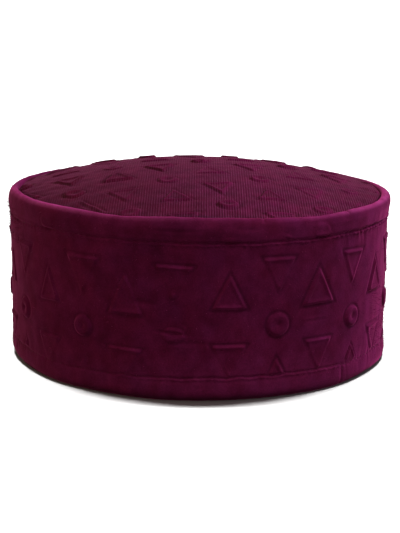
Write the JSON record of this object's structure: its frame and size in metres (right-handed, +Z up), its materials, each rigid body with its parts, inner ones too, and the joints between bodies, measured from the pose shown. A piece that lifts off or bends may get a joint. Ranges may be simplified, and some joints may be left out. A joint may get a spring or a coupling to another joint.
{
  "type": "sufi cap",
  "caption": "Soft brimless round cap: a low domed crown sewn into an upright band with a rolled top edge and a hem, embossed with outline triangles and rings.",
  "frame": {"origin": "centre of the circle of the lower rim, on the plane that the cap rests on", "axes": "+Z up through the crown, -Y towards the front, +X to the right as seen from the front"},
  "size_m": [0.1888, 0.1885, 0.0942],
  "materials": {
    "band_velvet": "deep plum velvet with a short soft pile, embossed, sheen at grazing angles",
    "crown_velvet": "the same plum velvet with its fine ribs showing, embossed, duller than the band"
  },
  "bodies": {
    "root": {"side_band": "band_velvet", "crown_panel": "crown_velvet"}
  },
  "joints": []
}
